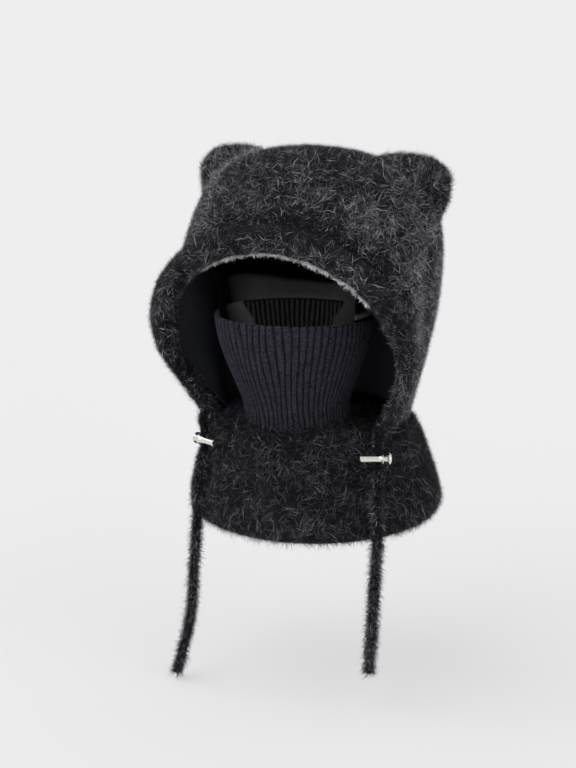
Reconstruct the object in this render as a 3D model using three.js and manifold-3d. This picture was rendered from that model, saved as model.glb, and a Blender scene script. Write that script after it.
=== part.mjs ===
// Cat ear balaclava: a furry hood with two ear corners and a padded brim, a rib-knit tube over
// mouth and neck, a furry bib, and two furry drawcords with sprung metal stoppers.
// Units are millimetres. +Z is up, the face looks towards -Y and the wearer's left is +X.
// The shapes below are drawn in the face frame, whose origin is the middle of the tube's upper rim.
// The finished group is then set so that its origin is the inside of the crown, where a head bears.
import * as THREE from 'three';
import { ParametricGeometry } from 'three/addons/geometries/ParametricGeometry.js';
import { mergeVertices, toCreasedNormals } from 'three/addons/utils/BufferGeometryUtils.js';
import Module from 'manifold-3d';

const wasm = await Module();
wasm.setup();

// Driving dimensions
const HEAD_SEAT = new THREE.Vector3(0, 45, 136);   // inside of the crown, in the face frame
const FUR_WALL = 4;          // pile and backing of the furry cloth
const LINING_WALL = 1.5;
const RIB_WALL = 3;
const TOUCH_GAP = 0.35;      // left between pieces that touch
const LINING_GAP = 1.3;      // between the hood and its lining
const LINING_START = 0.03;   // share of the hood's depth in front of the lining's edge
const SEAM = 1e-4;           // vertices nearer than this are one

const HOOD_DEPTH = FUR_WALL + LINING_GAP + LINING_WALL;

// Hood: hoops from the face opening back to the nape, each an arch on two legs.
// y: where the hoop's top lies. lean: how much further back its feet are. half: widest half-width.
// foot: half-width at the feet. top, spring, hem: heights of the crown, of the arch's start, of the feet.
// square: how square the arch's corners are (2 is an ellipse).
const HOOPS = [
  { y: -42, lean: 57, half: 122, foot: 79, top: 82, spring: -34, hem: -108, square: 2 },
  { y: -24, lean: 46, half: 120, foot: 83, top: 104, spring: -8, hem: -108, square: 2.1 },
  { y: -2, lean: 33, half: 117, foot: 87, top: 126, spring: 26, hem: -107, square: 2.2 },
  { y: 22, lean: 20, half: 116, foot: 90, top: 139, spring: 50, hem: -107, square: 2.3 },
  { y: 46, lean: 9, half: 117, foot: 89, top: 143, spring: 60, hem: -106, square: 2.3 },
  { y: 70, lean: 0, half: 115, foot: 84, top: 139, spring: 56, hem: -106, square: 2.25 },
  { y: 94, lean: -6, half: 107, foot: 75, top: 124, spring: 42, hem: -105, square: 2.15 },
  { y: 114, lean: -12, half: 91, foot: 60, top: 100, spring: 24, hem: -105, square: 2.05 },
  { y: 129, lean: -16, half: 66, foot: 42, top: 70, spring: 6, hem: -104, square: 2 },
  { y: 137, lean: -17, half: 36, foot: 22, top: 42, spring: -6, hem: -104, square: 2 },
  { y: 140, lean: -17, half: 0, foot: 0, top: 20, spring: -14, hem: -104, square: 2 },
];
const HOOP_STEPS = 14;
const ARCH_STEPS = 28;
const LEG_SHARE = 0.42;      // share of a hoop's length, from foot to crown, that is its leg
const LINING_STEPS = { across: 28, along: 12 };

// Brim: the padded fold on the hood's front edge, from the wearer's right cheek over the forehead
// to the left cheek. long: half the fold's reach along the cloth. thick: half its padding.
// swing: how far the long direction turns from straight ahead towards the opening's middle, in degrees.
// inset: how far the fold's middle lies inside the hood's outer face.
const BRIM = [
  { long: 9.5, thick: 8.5, swing: 2, inset: -1 },
  { long: 11, thick: 8.5, swing: 2, inset: 3 },
  { long: 13, thick: 9.5, swing: 4, inset: 3 },
  { long: 16, thick: 11.5, swing: 8, inset: 0 },
  { long: 18.5, thick: 12.5, swing: 20, inset: -2 },
  { long: 17, thick: 12, swing: 34, inset: -2 },
  { long: 15, thick: 11, swing: 44, inset: -2 },
  { long: 15, thick: 10.5, swing: 38, inset: -2 },
  { long: 15, thick: 10, swing: 22, inset: -2 },
  { long: 14.5, thick: 9.5, swing: 8, inset: 0 },
  { long: 12, thick: 8.5, swing: 4, inset: 4 },
  { long: 10.5, thick: 8, swing: 2, inset: 4 },
  { long: 10, thick: 8.5, swing: 2, inset: -2 },
];
const BRIM_START = 0.03;     // share of the hood's front edge left bare at each foot
const OPENING_MIDDLE = -30;  // height of the face opening's middle
const BRIM_STEPS = 38;
const BRIM_SIDES = 12;
const BRIM_END = 0.035;       // share of the brim's length that each round end takes

// Ear: level sections of the pouch above the diagonal seam that cuts off a crown corner.
// back and out: how far a section's middle lies behind and outside the seam's middle.
const EAR_SEAT = { x: 87, y: 58, z: 108 };    // middle of the seam
const EAR_TILT = 47;                           // degrees the ear leans outwards from upright
const EAR = [
  { rise: -16, length: 40, depth: 25, back: 0, out: 0 },
  { rise: 0, length: 39, depth: 21, back: 0, out: 0 },
  { rise: 10, length: 35, depth: 17, back: 2, out: 2 },
  { rise: 20, length: 28, depth: 14, back: 4, out: 4 },
  { rise: 28, length: 20, depth: 11.5, back: 5, out: 5 },
  { rise: 34, length: 12, depth: 8.5, back: 6, out: 6 },
  { rise: 37, length: 0, depth: 0, back: 6, out: 6 },
];
const EAR_HOLLOW = { length: 1.6, rise: 2 };   // the hollow's extra inset at its ends and tip, in walls
const EAR_STEPS = { around: 18, up: 7 };

// Rib-knit tube: sections from the rim over the nose down to the neck seam.
// z: height. side: half-width. reach: half-depth. y: the section's middle. tip: how much lower its back is.
const TUBE = [
  { z: 0, side: 73, reach: 77, y: 4, tip: 5 },
  { z: -20, side: 70, reach: 74, y: 4, tip: 4 },
  { z: -41, side: 63.5, reach: 67.5, y: 4, tip: 3 },
  { z: -62, side: 55.5, reach: 59.5, y: 5, tip: 2 },
  { z: -80, side: 49, reach: 53, y: 6, tip: 1 },
  { z: -94, side: 48, reach: 52, y: 8.5, tip: 0 },
  { z: -102, side: 48, reach: 52, y: 8.5, tip: 0 },
];
const ROUND_STEPS = 32;
const TUBE_STEPS = 6;
const BIB_STEPS = 8;

// Smooth inner panel behind the eye opening, from inside the tube up to the hood's lining.
// out: how far the section's back lies outside the tube's inner face, less and less towards the ends.
// rim: how much further out the whole section lies.
const NAPE = [
  { z: -50, out: -1, rim: 0 },
  { z: 1, out: -1, rim: 0 },
  { z: 6, out: 3, rim: 0 },
  { z: 16, out: 19, rim: 0 },
  { z: 28, out: 40, rim: 1 },
  { z: 42, out: 66, rim: 6 },
  { z: 60, out: 95, rim: 25 },
  { z: 78, out: 120, rim: 52 },
];
const NAPE_REACH = 106;      // degrees that the panel goes round each way from straight behind
const NAPE_TURN = 27;        // degrees that the arch's middle is turned to the wearer's right
// upper, lower: the arch's half-widths at its top and from the shelf height down.
const NAPE_ARCH = { top: -3, upper: 49, shelf: -22, lower: 37, corner: 2.5, depth: 140 };
const NAPE_STEPS = { around: 22, up: 12 };

// Bib: sections from the neck seam down to the hem. drop: how much lower the front hangs than the back.
const BIB = [
  { z: -92, side: 45, reach: 49, y: 9, drop: 4 },
  { z: -96, side: 67, reach: 67, y: 18, drop: 6 },
  { z: -101, side: 92, reach: 89, y: 39, drop: 7 },
  { z: -118, side: 102, reach: 97, y: 43, drop: 6 },
  { z: -142, side: 110, reach: 104, y: 46, drop: 6 },
  { z: -166, side: 117, reach: 110, y: 48, drop: 8 },
  { z: -182, side: 119, reach: 112, y: 50, drop: 10 },
  { z: -192, side: 113, reach: 107, y: 50, drop: 10 },
];

// Drawcords: middle lines from the brim's lower ends to the stoppers, and from there down in front
// of the bib to where they end. Inside its stopper a cord is pressed to a straight upright neck.
const CORD_RADIUS = 4;
const CORD_NECK_RADIUS = 1.7;
const CORD_NECK_REACH = 6.5;     // half the neck's length
const CORD_BITE = 0.5;           // how far the neck's ends reach into the full cord
const CORD_STEPS = { above: 5, below: 24 };
const CORD_SIDES = 8;
const STOPPER_LEFT = { x: 93, y: -25, z: -121 };
const STOPPER_RIGHT = { x: -75, y: -33.5, z: -121 };
const CORD_ABOVE_LEFT = [
  { x: 88, y: -8, z: -104 },
  { x: 91, y: -18, z: -107 },
  { x: 93, y: -24.5, z: -111 },
];
const CORD_ABOVE_RIGHT = [
  { x: -88.5, y: -8, z: -104 },
  { x: -81.5, y: -22, z: -106 },
  { x: -75.3, y: -32.3, z: -110.5 },
];
const CORD_BELOW_LEFT = [
  { x: 94, y: -27.5, z: -138 },
  { x: 95.5, y: -31, z: -154 },
  { x: 97.5, y: -34, z: -172 },
  { x: 98.5, y: -36, z: -190 },
  { x: 97, y: -37, z: -221 },
  { x: 95.5, y: -37, z: -252 },
  { x: 94, y: -37, z: -285 },
  { x: 91.5, y: -37, z: -319 },
];
const CORD_BELOW_RIGHT = [
  { x: -76.3, y: -35, z: -139 },
  { x: -77.5, y: -38, z: -154 },
  { x: -78, y: -40, z: -170 },
  { x: -80, y: -41, z: -206 },
  { x: -83, y: -42, z: -246 },
  { x: -84.5, y: -42, z: -271 },
  { x: -88, y: -42, z: -296 },
  { x: -94.5, y: -42, z: -322 },
  { x: -102.5, y: -42, z: -350 },
];

// Stopper, along its own axis: 0 is the cord's hole, positive is towards the push button.
const BARREL_RADIUS = 3.4;
const BARREL_END = -15.5;
const BARREL_CHAMFER = 0.7;
const BELL_START = 1.5;
const BELL_END = 5;
const BELL_RADIUS = 5.4;
const BELL_LIP = 0.8;
const BELL_SWELL = 0.6;          // how much wider than the barrel the bell is at its middle
const BORE_RADIUS = 3.05;
const BORE_END = -8;
const HOLE_RADIUS = 2;
const PLUNGER_RADIUS = 2.75;
const PLUNGER_START = -4.2;
const PLUNGER_SLOT = { from: -2.1, to: 5.1, width: 4 };
const GROOVE = { start: 5.9, end: 6.4, depth: 0.5 };
const BUTTON_START = 9.2;
const BUTTON_RADIUS = 5.4;
const BUTTON_FLARE = { run: 0.8, rise: 1.4 };
const BUTTON_RIM = 10.1;
const BUTTON_DOME = { start: 10.5, height: 2.3, steps: 4 };
const STOPPER_YAW = 25;          // degrees that the button end is turned back round the neck
const TURN_STEPS = 18;
const HOLE_SIDES = 16;

const degrees = THREE.MathUtils.degToRad;

// One value of each named column of a table, smoothly between its rows; t runs from 0 to 1.
function between(table, t) {
  const place = THREE.MathUtils.clamp(t, 0, 1) * (table.length - 1);
  const row = Math.min(Math.floor(place), table.length - 2);
  const part = place - row;
  const out = {};
  for (const name of Object.keys(table[0])) {
    const before = table[Math.max(row - 1, 0)][name];
    const from = table[row][name];
    const to = table[row + 1][name];
    const after = table[Math.min(row + 2, table.length - 1)][name];
    const square = part * part;
    out[name] = 0.5 * (2 * from + (to - before) * part
      + (2 * before - 5 * from + 4 * to - after) * square
      + (3 * from - before - 3 * to + after) * square * part);
  }
  return out;
}

// An indexed surface of place(u, v), both from 0 to 1, with its seams and poles merged.
function surface(place, acrossSteps, alongSteps) {
  const write = (u, v, target) => target.copy(place(u, v));
  const geometry = new ParametricGeometry(write, acrossSteps, alongSteps);
  geometry.deleteAttribute('normal');
  geometry.deleteAttribute('uv');
  const merged = mergeVertices(geometry, SEAM);
  const index = merged.index.array;
  const kept = [];
  for (let i = 0; i < index.length; i += 3) {
    const [a, b, c] = [index[i], index[i + 1], index[i + 2]];
    if (a !== b && b !== c && c !== a) kept.push(a, b, c);
  }
  merged.setIndex(kept);
  return merged;
}

// Moves every vertex of a surface along its normal; positive is outwards.
function offset(geometry, distance) {
  const moved = geometry.clone();
  moved.computeVertexNormals();
  const { position, normal } = moved.attributes;
  for (let i = 0; i < position.count; i++) {
    position.setXYZ(i,
      position.getX(i) + normal.getX(i) * distance,
      position.getY(i) + normal.getY(i) * distance,
      position.getZ(i) + normal.getZ(i) * distance);
  }
  moved.deleteAttribute('normal');
  return moved;
}

function indexed(positions, faces) {
  const geometry = new THREE.BufferGeometry();
  geometry.setAttribute('position', new THREE.Float32BufferAttribute(positions, 3));
  geometry.setIndex(faces);
  return geometry;
}

// Edges that only one face uses, each in that face's direction.
function openEdges(geometry) {
  const faces = geometry.index.array;
  const open = new Map();
  for (let i = 0; i < faces.length; i += 3) {
    for (let k = 0; k < 3; k++) {
      const [from, to] = [faces[i + k], faces[i + (k + 1) % 3]];
      if (!open.delete(`${to} ${from}`)) open.set(`${from} ${to}`, [from, to]);
    }
  }
  return [...open.values()];
}

// A cloth wall: the surface, its copy moved inwards by the thickness, and a strip round every open edge.
function wall(outer, thickness) {
  const inner = offset(outer, -thickness);
  const count = outer.attributes.position.count;
  const faces = [...outer.index.array];
  for (let i = outer.index.count - 3; i >= 0; i -= 3) {
    faces.push(faces[i + 2] + count, faces[i + 1] + count, faces[i] + count);
  }
  for (const [from, to] of openEdges(outer)) {
    faces.push(to, from, from + count, to, from + count, to + count);
  }
  return indexed([...outer.attributes.position.array, ...inner.attributes.position.array], faces);
}

// Join and cut
function solid(geometry) {
  const bare = geometry.clone();
  for (const name of Object.keys(bare.attributes)) {
    if (name !== 'position') bare.deleteAttribute(name);
  }
  const merged = mergeVertices(bare, SEAM);
  return new wasm.Manifold(new wasm.Mesh({
    numProp: 3,
    vertProperties: new Float32Array(merged.attributes.position.array),
    triVerts: new Uint32Array(merged.index.array),
  }));
}

function fromSolid(manifold) {
  const mesh = manifold.getMesh();
  return indexed([...mesh.vertProperties], [...mesh.triVerts]);
}

function sub(name, geometry, material) {
  const mesh = new THREE.Mesh(toCreasedNormals(geometry, Math.PI / 5), material);
  mesh.name = name;
  return mesh;
}

// Hood: u goes from the wearer's right foot over the crown to the left foot, v from front to back.
function hoodPoint(u, v) {
  const hoop = between(HOOPS, v);
  const side = Math.sign(u - 0.5);
  const climb = 1 - Math.abs(2 * u - 1);              // 0 at a foot, 1 at the crown
  const square = Math.max(hoop.square, 2);
  const half = Math.max(hoop.half, 0);
  const foot = Math.max(hoop.foot, 0);
  let across, up;
  if (climb < LEG_SHARE) {
    const part = climb / LEG_SHARE;
    across = foot + (half - foot) * Math.sin(part * Math.PI / 2);
    up = hoop.hem + (hoop.spring - hoop.hem) * part;
  } else {
    const angle = (climb - LEG_SHARE) / (1 - LEG_SHARE) * Math.PI / 2;
    across = half * Math.max(Math.cos(angle), 0) ** (2 / square);
    up = hoop.spring + (hoop.top - hoop.spring) * Math.sin(angle) ** (2 / square);
  }
  if (climb > 1 - SEAM) across = 0;
  const fall = (hoop.top - up) / (hoop.top - hoop.hem);
  return new THREE.Vector3(side * across, hoop.y + hoop.lean * fall, up);
}

const hoodSurface = surface(hoodPoint, ARCH_STEPS, HOOP_STEPS);

// Point on a section's oval at an angle from straight behind, positive towards the wearer's left.
function ovalPoint(section, angle, grow = 0) {
  const back = Math.cos(angle);
  return new THREE.Vector3(
    (section.side + grow) * Math.sin(angle),
    section.y + (section.reach + grow) * back,
    section.z - (section.tip ?? 0) * (1 + back) / 2 - (section.drop ?? 0) * (1 - back) / 2);
}

function tubePoint(u, v) {
  return ovalPoint(between(TUBE, 1 - v), -2 * Math.PI * u);
}

function bibPoint(u, v) {
  return ovalPoint(between(BIB, 1 - v), -2 * Math.PI * u);
}

// Nape panel: round the inside of the tube's back, flaring above the rim out to the hood's lining.
function napePoint(u, v) {
  const angle = degrees(NAPE_REACH) * (1 - 2 * u);
  const last = NAPE.length - 1;
  const row = Math.min(Math.floor(v * last), last - 1);
  const part = v * last - row;
  const z = NAPE[row].z + (NAPE[row + 1].z - NAPE[row].z) * part;
  const out = NAPE[row].out + (NAPE[row + 1].out - NAPE[row].out) * part;
  const rim = NAPE[row].rim + (NAPE[row + 1].rim - NAPE[row].rim) * part;
  const tube = between(TUBE, z / TUBE[TUBE.length - 1].z);
  const fade = Math.cos(angle / degrees(NAPE_REACH) * Math.PI / 2) ** 2;
  const flare = rim + (out < 0 ? out : out * fade);
  return ovalPoint({ ...tube, z }, angle, flare - RIB_WALL);
}

// The arch is cut through the panel by a block with round upper corners.
function napeGeometry() {
  const { top, upper, shelf, lower, corner, depth } = NAPE_ARCH;
  const low = NAPE[0].z - 10;
  const arch = new THREE.Shape();
  arch.moveTo(-lower, low);
  arch.lineTo(lower, low);
  arch.lineTo(lower, shelf);
  arch.lineTo(upper, top - corner);
  arch.quadraticCurveTo(upper, top, upper - corner, top);
  arch.lineTo(corner - upper, top);
  arch.quadraticCurveTo(-upper, top, -upper, top - corner);
  arch.lineTo(-lower, shelf);
  const block = new THREE.ExtrudeGeometry(arch, { depth, bevelEnabled: false, curveSegments: 5 })
    .rotateX(Math.PI / 2)
    .rotateZ(Math.PI + degrees(NAPE_TURN))
    .translate(0, TUBE[0].y, 0);
  const panel = solid(wall(surface(napePoint, NAPE_STEPS.around, NAPE_STEPS.up), LINING_WALL));
  const inside = solid(lidded(offset(liningSurface, -HOOD_DEPTH - TOUCH_GAP)));
  return fromSolid(panel.subtract(solid(block)).intersect(inside));
}

// Brim: an oval carried along the hood's front edge, with round ends; v goes from foot to foot.
function brimPoint(u, v) {
  const body = THREE.MathUtils.clamp((v - BRIM_END) / (1 - 2 * BRIM_END), 0, 1);
  const capPlace = THREE.MathUtils.clamp(Math.min(v, 1 - v) / BRIM_END, 0, 1);
  const row = between(BRIM, body);
  const place = BRIM_START + (1 - 2 * BRIM_START) * body;
  const edge = hoodPoint(place, 0);
  const step = 0.01;
  const tangent = hoodPoint(place + step, 0).sub(hoodPoint(place - step, 0)).normalize();
  const swing = degrees(row.swing);
  const toMiddle = new THREE.Vector3(-edge.x, 0, OPENING_MIDDLE - edge.z).normalize();
  const ahead = new THREE.Vector3(0, -Math.cos(swing), 0).addScaledVector(toMiddle, Math.sin(swing));
  ahead.addScaledVector(tangent, -ahead.dot(tangent)).normalize();
  const inward = new THREE.Vector3().crossVectors(tangent, ahead);
  const middle = edge.addScaledVector(ahead, row.long + TOUCH_GAP).addScaledVector(inward, row.inset);
  const swell = Math.sqrt(Math.max(1 - (1 - capPlace) ** 2, 0));
  const angle = 2 * Math.PI * u;
  const reach = (1 - capPlace) * row.thick * (v < 0.5 ? -1 : 1);
  return middle
    .addScaledVector(ahead, row.long * swell * Math.cos(angle))
    .addScaledVector(inward, row.thick * swell * Math.sin(angle))
    .addScaledVector(tangent, reach);
}

// Ear pouch in its own frame: z up from the seam, x along it. wallIn shrinks it for the hollow.
function earSurface(wallIn, side) {
  return surface((u, v) => {
    const row = between(EAR, v);
    const angle = 2 * Math.PI * u;
    const length = Math.max(row.length - wallIn * EAR_HOLLOW.length, 0) * (v > 1 - SEAM ? 0 : 1);
    const depth = Math.max(row.depth - wallIn, 0) * (v > 1 - SEAM ? 0 : 1);
    const rise = row.rise - wallIn * EAR_HOLLOW.rise * v;
    const x = side * row.out + length * Math.cos(angle);
    return new THREE.Vector3(x, row.back + depth * Math.sin(angle), rise);
  }, EAR_STEPS.around, EAR_STEPS.up);
}

// Closes each open edge of a surface with a fan to that edge's middle.
function lidded(geometry) {
  const corner = (i) => new THREE.Vector3().fromBufferAttribute(geometry.attributes.position, i);
  const positions = [...geometry.attributes.position.array];
  const faces = [...geometry.index.array];
  const next = new Map(openEdges(geometry).map(([from, to]) => [from, to]));
  while (next.size) {
    const loop = [next.keys().next().value];
    while (next.get(loop.at(-1)) !== loop[0]) loop.push(next.get(loop.at(-1)));
    const middle = new THREE.Vector3();
    for (const i of loop) middle.addScaledVector(corner(i), 1 / loop.length);
    for (const i of loop) {
      faces.push(next.get(i), i, positions.length / 3);
      next.delete(i);
    }
    positions.push(...middle.toArray());
  }
  return indexed(positions, faces);
}

function earGeometry(side) {
  const place = new THREE.Matrix4()
    .makeRotationY(degrees(EAR_TILT) * side)
    .setPosition(EAR_SEAT.x * side, EAR_SEAT.y, EAR_SEAT.z);
  const outer = solid(lidded(earSurface(0, side)).applyMatrix4(place));
  const hollow = solid(lidded(earSurface(FUR_WALL, side)).translate(0, 0, -1).applyMatrix4(place));
  const crown = solid(lidded(offset(hoodSurface, TOUCH_GAP)));
  return fromSolid(outer.subtract(crown).subtract(hollow));
}

// Drawcord: three tubes in one, full, necked inside the stopper, and full again.
function tube(points, radius, steps) {
  const section = new THREE.Shape();
  for (let i = 0; i < CORD_SIDES; i++) {
    const angle = 2 * Math.PI * i / CORD_SIDES;
    section[i ? 'lineTo' : 'moveTo'](radius * Math.cos(angle), radius * Math.sin(angle));
  }
  const extrudePath = new THREE.CatmullRomCurve3(points.map(({ x, y, z }) => new THREE.Vector3(x, y, z)));
  return solid(new THREE.ExtrudeGeometry(section, { steps, extrudePath }));
}

function cordGeometry(above, seat, below) {
  const top = { ...seat, z: seat.z + CORD_NECK_REACH };
  const bottom = { ...seat, z: seat.z - CORD_NECK_REACH };
  const neckEnds = [{ ...top, z: top.z + CORD_BITE }, { ...bottom, z: bottom.z - CORD_BITE }];
  const upper = tube([...above, top], CORD_RADIUS, CORD_STEPS.above);
  const neck = tube(neckEnds, CORD_NECK_RADIUS, 1);
  const lower = tube([bottom, ...below], CORD_RADIUS, CORD_STEPS.below);
  return fromSolid(upper.add(neck).add(lower));
}

// Turned metal parts: a profile of [radius, place along the axis] pairs, closed on the axis.
function turned(profile) {
  const lathe = new THREE.LatheGeometry(profile.map(([r, at]) => new THREE.Vector2(r, at)), TURN_STEPS);
  return lathe.rotateZ(-Math.PI / 2);                 // the lathe's axis becomes +X
}

function barrelGeometry() {
  const outside = turned([
    [0, BARREL_END],
    [BARREL_RADIUS - BARREL_CHAMFER, BARREL_END],
    [BARREL_RADIUS, BARREL_END + BARREL_CHAMFER],
    [BARREL_RADIUS, BELL_START],
    [BARREL_RADIUS + BELL_SWELL, (BELL_START + BELL_END) / 2],
    [BELL_RADIUS, BELL_END - BELL_LIP],
    [BELL_RADIUS, BELL_END],
    [BORE_RADIUS, BELL_END],
    [BORE_RADIUS, BORE_END],
    [0, BORE_END],
  ]);
  const hole = new THREE.CylinderGeometry(HOLE_RADIUS, HOLE_RADIUS, 4 * BARREL_RADIUS, HOLE_SIDES)
    .rotateX(Math.PI / 2);
  return fromSolid(solid(outside).subtract(solid(hole)));
}

function plungerGeometry() {
  const dome = Array.from({ length: BUTTON_DOME.steps + 1 }, (_, k) => {
    const angle = k / BUTTON_DOME.steps * Math.PI / 2;
    const radius = k === BUTTON_DOME.steps ? 0 : BUTTON_RADIUS * Math.cos(angle);
    return [radius, BUTTON_DOME.start + BUTTON_DOME.height * Math.sin(angle)];
  });
  const outside = turned([
    [0, PLUNGER_START],
    [PLUNGER_RADIUS, PLUNGER_START],
    [PLUNGER_RADIUS, GROOVE.start],
    [PLUNGER_RADIUS - GROOVE.depth, GROOVE.start],
    [PLUNGER_RADIUS - GROOVE.depth, GROOVE.end],
    [PLUNGER_RADIUS, GROOVE.end],
    [PLUNGER_RADIUS, BUTTON_START - BUTTON_FLARE.run],
    [BUTTON_RADIUS - BUTTON_FLARE.rise, BUTTON_START],
    [BUTTON_RADIUS, BUTTON_RIM],
    ...dome,
  ]);
  const length = PLUNGER_SLOT.to - PLUNGER_SLOT.from;
  const slot = new THREE.BoxGeometry(length, PLUNGER_SLOT.width, 4 * PLUNGER_RADIUS)
    .translate((PLUNGER_SLOT.from + PLUNGER_SLOT.to) / 2, 0, 0);
  return fromSolid(solid(outside).subtract(solid(slot)));
}

// Materials
const cloth = (color, roughness) => new THREE.MeshStandardMaterial({ color, roughness, metalness: 0 });
const fur = cloth(0x26262c, 1);
const rib = cloth(0x1d1f27, 0.95);
const smooth = cloth(0x101115, 0.9);
const steel = new THREE.MeshStandardMaterial({ color: 0xd9d6cf, roughness: 0.25, metalness: 1 });

// Assembly
const balaclava = new THREE.Group();
balaclava.position.copy(HEAD_SEAT).negate();
const tubeSurface = surface(tubePoint, ROUND_STEPS, TUBE_STEPS);
const bibSurface = surface(bibPoint, ROUND_STEPS, BIB_STEPS);
const liningSurface = surface((u, v) => hoodPoint(u, LINING_START + (1 - LINING_START) * v),
  LINING_STEPS.across, LINING_STEPS.along);

// The hood, its lining and the brim stand on the bib's shoulders, and the bib closes round the tube's neck.
const shoulders = solid(lidded(offset(bibSurface, TOUCH_GAP)));
const neck = solid(lidded(offset(tubeSurface, 2 * TOUCH_GAP)));
const neckFoot = neck.translate([0, 0, -3 * TOUCH_GAP]);
const hood = solid(wall(hoodSurface, FUR_WALL)).subtract(shoulders);
const lining = solid(wall(offset(liningSurface, -FUR_WALL - LINING_GAP), LINING_WALL)).subtract(shoulders);
const bib = solid(wall(bibSurface, FUR_WALL)).subtract(neck).subtract(neckFoot);
const brimFold = solid(surface(brimPoint, BRIM_SIDES, BRIM_STEPS));
const hoodSpace = solid(wall(offset(hoodSurface, 2 * TOUCH_GAP), HOOD_DEPTH + 4 * TOUCH_GAP));
const brim = brimFold
  .subtract(hoodSpace.translate([0, -3 * TOUCH_GAP, 0]))
  .subtract(hood.translate([0, -3 * TOUCH_GAP, 0]))
  .subtract(shoulders);

balaclava.add(sub('hood_shell', fromSolid(hood), fur));
balaclava.add(sub('hood_lining', fromSolid(lining), smooth));
balaclava.add(sub('nape_lining', napeGeometry(), smooth));
balaclava.add(sub('brim', fromSolid(brim), fur));
balaclava.add(sub('face_tube', wall(tubeSurface, RIB_WALL), rib));
balaclava.add(sub('neck_bib', fromSolid(bib), fur));

for (const [name, side, above, seat, below] of [
  ['left', 1, CORD_ABOVE_LEFT, STOPPER_LEFT, CORD_BELOW_LEFT],
  ['right', -1, CORD_ABOVE_RIGHT, STOPPER_RIGHT, CORD_BELOW_RIGHT],
]) {
  balaclava.add(sub(`ear_${name}`, earGeometry(side), fur));
  balaclava.add(sub(`drawcord_${name}`, cordGeometry(above, seat, below), fur));
  const stopper = new THREE.Group();
  stopper.position.set(seat.x, seat.y, seat.z);
  stopper.rotation.z = side > 0 ? degrees(STOPPER_YAW) : Math.PI - degrees(STOPPER_YAW);
  stopper.add(sub(`stopper_barrel_${name}`, barrelGeometry(), steel));
  stopper.add(sub(`stopper_plunger_${name}`, plungerGeometry(), steel));
  balaclava.add(stopper);
}

export default balaclava;
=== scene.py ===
"""Looks of a cat ear balaclava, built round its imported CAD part. Row frame, metres.

The surfaces are drawn in the face frame in millimetres, like the part's own source: its origin is the
middle of the tube's upper rim. placed() turns them into the row frame.
"""
import math

import bpy
import numpy as np
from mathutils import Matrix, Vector
from mathutils.bvhtree import BVHTree


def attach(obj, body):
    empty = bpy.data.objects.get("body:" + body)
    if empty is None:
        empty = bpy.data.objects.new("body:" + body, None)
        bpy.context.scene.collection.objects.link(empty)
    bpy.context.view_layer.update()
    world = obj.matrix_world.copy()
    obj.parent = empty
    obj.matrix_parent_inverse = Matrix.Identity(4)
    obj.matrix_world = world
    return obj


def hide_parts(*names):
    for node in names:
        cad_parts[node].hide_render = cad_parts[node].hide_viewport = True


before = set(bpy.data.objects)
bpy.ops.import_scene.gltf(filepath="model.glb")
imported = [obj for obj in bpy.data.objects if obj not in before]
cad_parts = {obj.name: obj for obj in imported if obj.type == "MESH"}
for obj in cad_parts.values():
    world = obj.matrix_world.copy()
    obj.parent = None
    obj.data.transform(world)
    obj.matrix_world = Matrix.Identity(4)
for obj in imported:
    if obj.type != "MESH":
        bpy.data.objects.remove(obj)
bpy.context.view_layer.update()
BODY = "balaclava"
HEAD_SEAT = np.array([0.0, 45.0, 136.0])
MM = 0.001


def placed(points):
    """Face frame in millimetres to row frame in metres."""
    return (np.asarray(points, float) - HEAD_SEAT) * MM


# Camera
AZIMUTH, PITCH = math.radians(25), math.radians(13.7)
DISTANCE = 1700.0                      # to the middle of the tube's rim
FOCAL = DISTANCE / 0.9                 # in pixels of the 576 wide picture
RIM_AT = (294.0, 310.5)                # the pixel that shows the rim's middle
PICTURE = (576, 768)
SENSOR_WIDTH = 36.0

camera_data = bpy.data.cameras.new("camera")
camera = bpy.data.objects.new("camera", camera_data)
bpy.context.scene.collection.objects.link(camera)
bpy.context.scene.camera = camera
right = np.array([math.cos(AZIMUTH), math.sin(AZIMUTH), 0])
ahead = np.array([
    -math.sin(AZIMUTH) * math.cos(PITCH),
    math.cos(AZIMUTH) * math.cos(PITCH),
    -math.sin(PITCH),
])
up = np.cross(right, ahead)
across_mm = (RIM_AT[0] - PICTURE[0] / 2) * DISTANCE / FOCAL
down_mm = (RIM_AT[1] - PICTURE[1] / 2) * DISTANCE / FOCAL
camera.location = Vector(placed(-DISTANCE * ahead - across_mm * right + down_mm * up))
camera.rotation_mode = "QUATERNION"
camera.rotation_quaternion = Vector(ahead).to_track_quat("-Z", "Y")
camera_data.sensor_fit = "HORIZONTAL"
camera_data.sensor_width = SENSOR_WIDTH
camera_data.lens = SENSOR_WIDTH * FOCAL / PICTURE[0]
camera_data.clip_start = 0.05
camera_data.clip_end = 50

# Driving tables, as in the part's source
SIDES = {"left": 1, "right": -1}
FUR_WALL, LINING_WALL, RIB_WALL, LINING_GAP, BRIM_GAP = 4.0, 1.5, 3.0, 1.3, 0.35
SKIN = 2.6                             # how far the furry cloth's skin lies inside its outline
BACKING = 4.5                          # how far its inner face lies inside the outline
HOOPS = {
    "y": [-42, -24, -2, 22, 46, 70, 94, 114, 129, 137, 140],
    "lean": [57, 46, 33, 20, 9, 0, -6, -12, -16, -17, -17],
    "half": [122, 120, 117, 116, 117, 115, 107, 91, 66, 36, 0],
    "foot": [79, 83, 87, 90, 89, 84, 75, 60, 42, 22, 0],
    "top": [82, 104, 126, 139, 143, 139, 124, 100, 70, 42, 20],
    "spring": [-34, -8, 26, 50, 60, 56, 42, 24, 6, -6, -14],
    "hem": [-108, -108, -107, -107, -106, -106, -105, -105, -104, -104, -104],
    "square": [2, 2.1, 2.2, 2.3, 2.3, 2.25, 2.15, 2.05, 2, 2, 2],
}
LEG_SHARE = 0.42
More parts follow.
